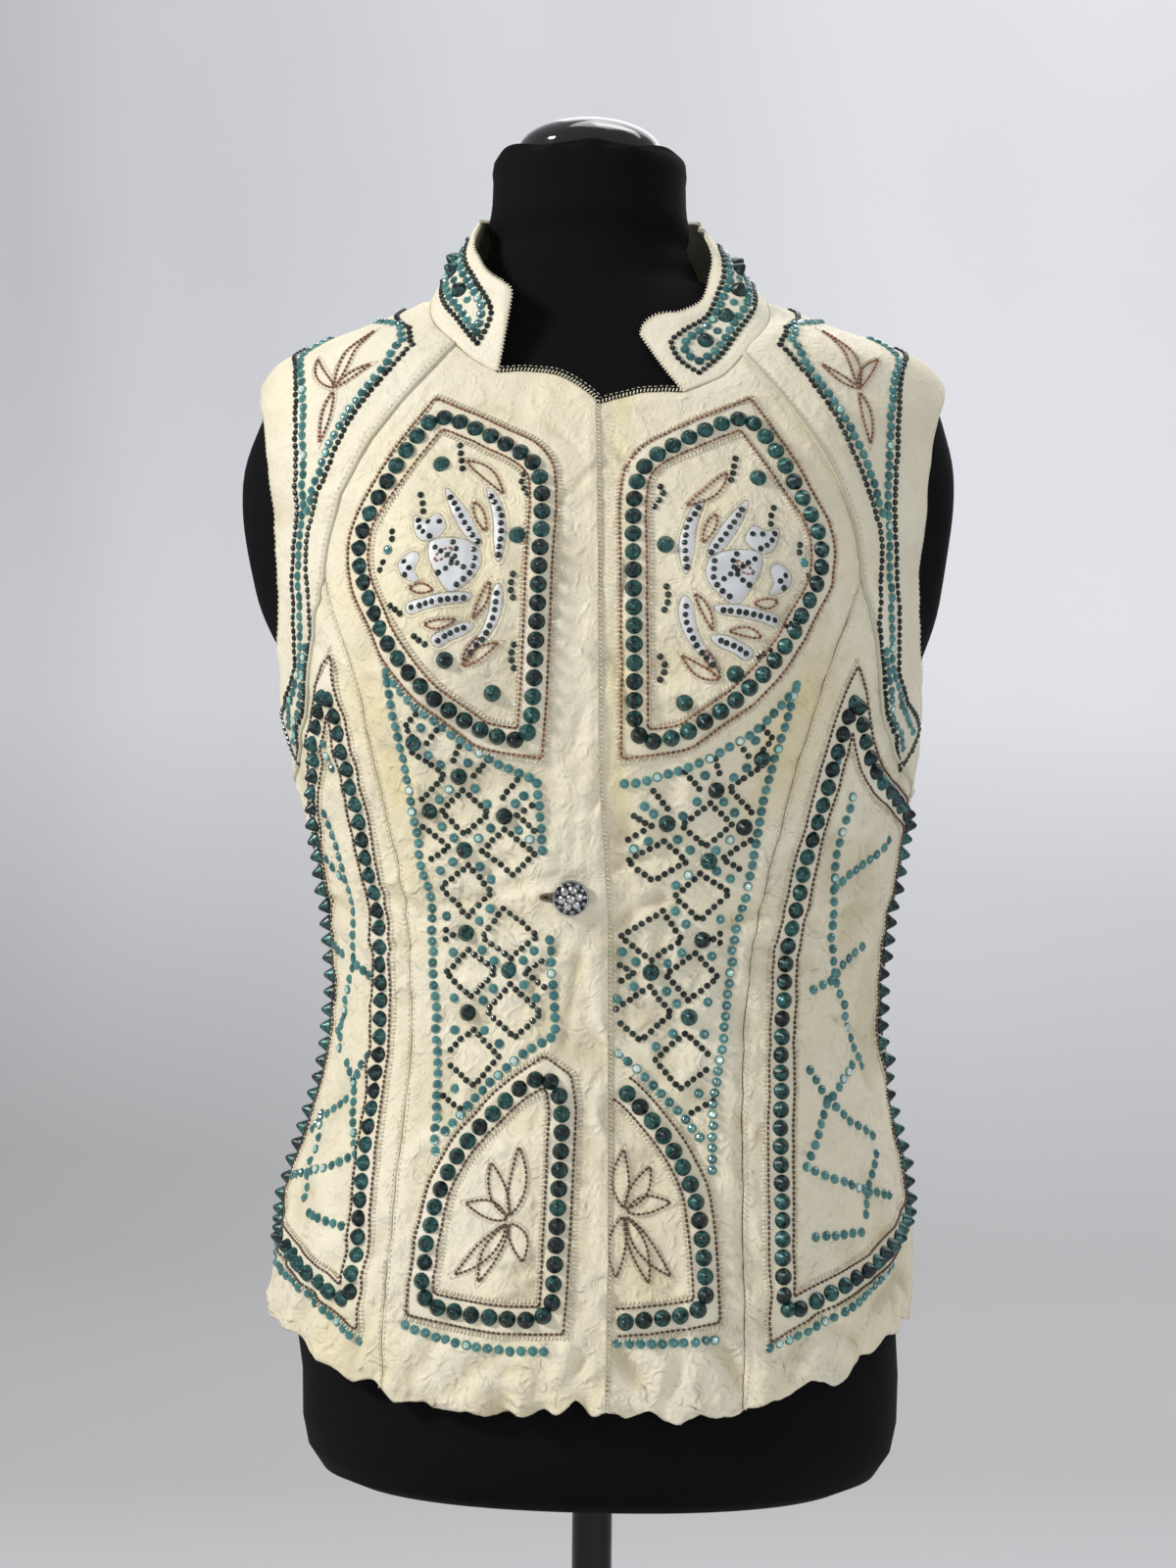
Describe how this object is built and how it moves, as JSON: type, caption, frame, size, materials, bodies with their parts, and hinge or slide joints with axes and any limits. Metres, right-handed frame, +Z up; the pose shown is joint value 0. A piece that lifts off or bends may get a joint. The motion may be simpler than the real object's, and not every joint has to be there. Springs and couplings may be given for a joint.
{
  "type": "sleeveless leather folk vest on a limbless dress form",
  "caption": "Fitted sleeveless leather vest with a stand collar, a one-button lapped front and frames of metal cone studs, shown on a cloth-covered dress form on a pole.",
  "frame": {"origin": "centre of the underside of the stand's round foot, on the floor", "axes": "+Z up; the front of the vest faces -Y; +X is on the right of someone who looks at the front, so the wearer's right is at -X"},
  "size_m": [0.3925, 0.32, 0.9493],
  "materials": {
    "leather_cream": "soft crinkled garment leather, faintly yellowed",
    "stud_patina": "cone studs with a dark green patina on a leather strip",
    "button_metal": "dark pewter",
    "form_cloth": "matt black jersey over a hard form",
    "cap_plastic": "glossy black",
    "metal_black": "black powder coat"
  },
  "bodies": {
    "root": {"back": "leather_cream", "collar": "leather_cream", "left_front": "leather_cream", "right_front": "leather_cream", "left_side_front": "leather_cream", "right_side_front": "leather_cream", "left_side_back": "leather_cream", "right_side_back": "leather_cream", "left_shoulder_front": "leather_cream", "right_shoulder_front": "leather_cream", "left_shoulder_back": "leather_cream", "right_shoulder_back": "leather_cream", "left_chest_frame": "stud_patina", "right_chest_frame": "stud_patina", "left_lower_frame": "stud_patina", "right_lower_frame": "stud_patina", "left_side_frame": "stud_patina", "right_side_frame": "stud_patina", "front_button": "button_metal", "form_torso": "form_cloth", "form_neck_cap": "cap_plastic", "stand_pole": "metal_black", "stand_base": "metal_black"}
  },
  "joints": []
}
